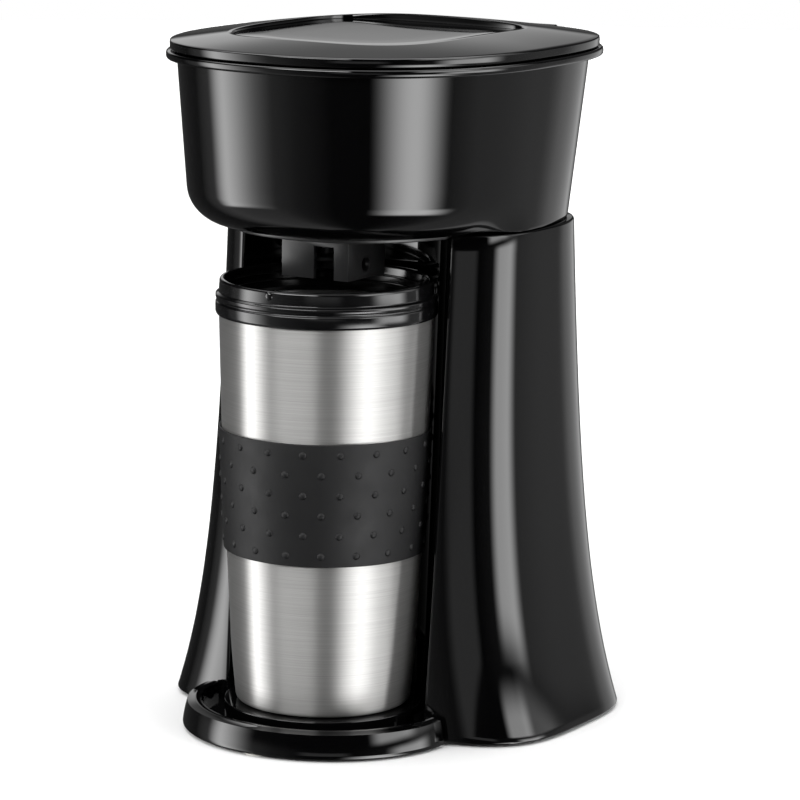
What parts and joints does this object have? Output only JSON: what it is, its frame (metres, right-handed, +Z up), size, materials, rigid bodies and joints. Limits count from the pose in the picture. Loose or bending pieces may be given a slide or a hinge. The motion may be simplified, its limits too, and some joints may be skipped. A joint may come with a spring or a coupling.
{
  "type": "drip coffee maker",
  "caption": "Single-serve drip coffee maker: flared glossy housing with a niche for its steel travel mug, a squared hopper overhead, hinged crowned lid and slide-out drip tray.",
  "frame": {"origin": "centre of the footprint on the table, under the middle of the overall box", "axes": "+Z up; the front, where the mug stands, faces -Y; +X is to the right for someone facing the front"},
  "size_m": [0.1732, 0.18, 0.2744],
  "materials": {
    "gloss_black": "glossy",
    "satin_black": "satin",
    "brushed_steel": "brushed round the mug",
    "rubber": "matte",
    "smoke_tank": "satin",
    "silicone": "matte",
    "aluminium": "cast",
    "filter_mesh": "fine mesh",
    "screw_steel": "polished",
    "liner_steel": "satin",
    "collar_black": "satin",
    "grip_rubber": "matte, dotted"
  },
  "bodies": {
    "housing": {"column_shell": "gloss_black", "rear_cover": "gloss_black", "base_plate": "satin_black", "base_screw_1": "screw_steel", "base_screw_2": "screw_steel", "base_screw_3": "screw_steel", "base_screw_4": "screw_steel", "rubber_foot_1": "rubber", "rubber_foot_2": "rubber", "rubber_foot_3": "rubber", "rubber_foot_4": "rubber", "rubber_foot_5": "rubber", "rubber_foot_6": "rubber", "cord_inlet": "satin_black", "switch_frame": "satin_black", "hopper_shell": "gloss_black", "underside_plate": "satin_black", "water_reservoir": "smoke_tank", "spout_block": "satin_black", "valve_spring": "screw_steel", "heater": "aluminium", "thermostat": "aluminium", "thermal_fuse": "silicone", "riser_tube": "silicone", "feed_tube_upper": "silicone", "check_valve": "satin_black", "feed_tube_lower": "silicone", "outlet_nozzle": "satin_black", "hinge_cover": "gloss_black", "hinge_pin": "screw_steel"},
    "lid": {"lid": "gloss_black", "lid_panel": "gloss_black"},
    "tray": {"drip_tray": "gloss_black", "tray_foot": "silicone"},
    "mug": {"mug_shell": "brushed_steel", "mug_base_pad": "rubber", "mug_liner": "liner_steel", "mug_collar": "collar_black", "mug_sleeve": "grip_rubber"},
    "basket": {"filter_basket": "satin_black"},
    "filter": {"permanent_filter": "filter_mesh"},
    "valve": {"drip_valve": "satin_black"},
    "rocker": {"rocker_switch": "gloss_black"}
  },
  "joints": [
    {"name": "lid_hinge", "type": "hinge", "parent": "housing", "child": "lid", "pos_m": [0, 0.08, 0.2678], "axis": [-1, 0, 0], "range_deg": [0, 90]},
    {"name": "tray_slide", "type": "slide", "parent": "housing", "child": "tray", "axis": [0, -1, 0], "range_m": [0, 0.1]},
    {"name": "mug_slide", "type": "slide", "parent": "tray", "child": "mug", "axis": [0, -1, 0], "range_m": [0, 0.12]},
    {"name": "basket_lift", "type": "slide", "parent": "housing", "child": "basket", "axis": [0, 0, 1], "range_m": [0, 0.007]},
    {"name": "filter_lift", "type": "slide", "parent": "basket", "child": "filter", "axis": [0, 0, 1], "range_m": [0, 0.004]},
    {"name": "valve_lift", "type": "slide", "parent": "housing", "child": "valve", "axis": [0, 0, 1], "range_m": [0, 0.002], "stiffness_N_per_m": 200, "deforming": ["valve_spring"]},
    {"name": "rocker_turn", "type": "hinge", "parent": "housing", "child": "rocker", "pos_m": [0.01251, 0.00664, 0.0205], "axis": [0.9613, -0.2756, 0], "range_deg": [-6, 6]}
  ]
}
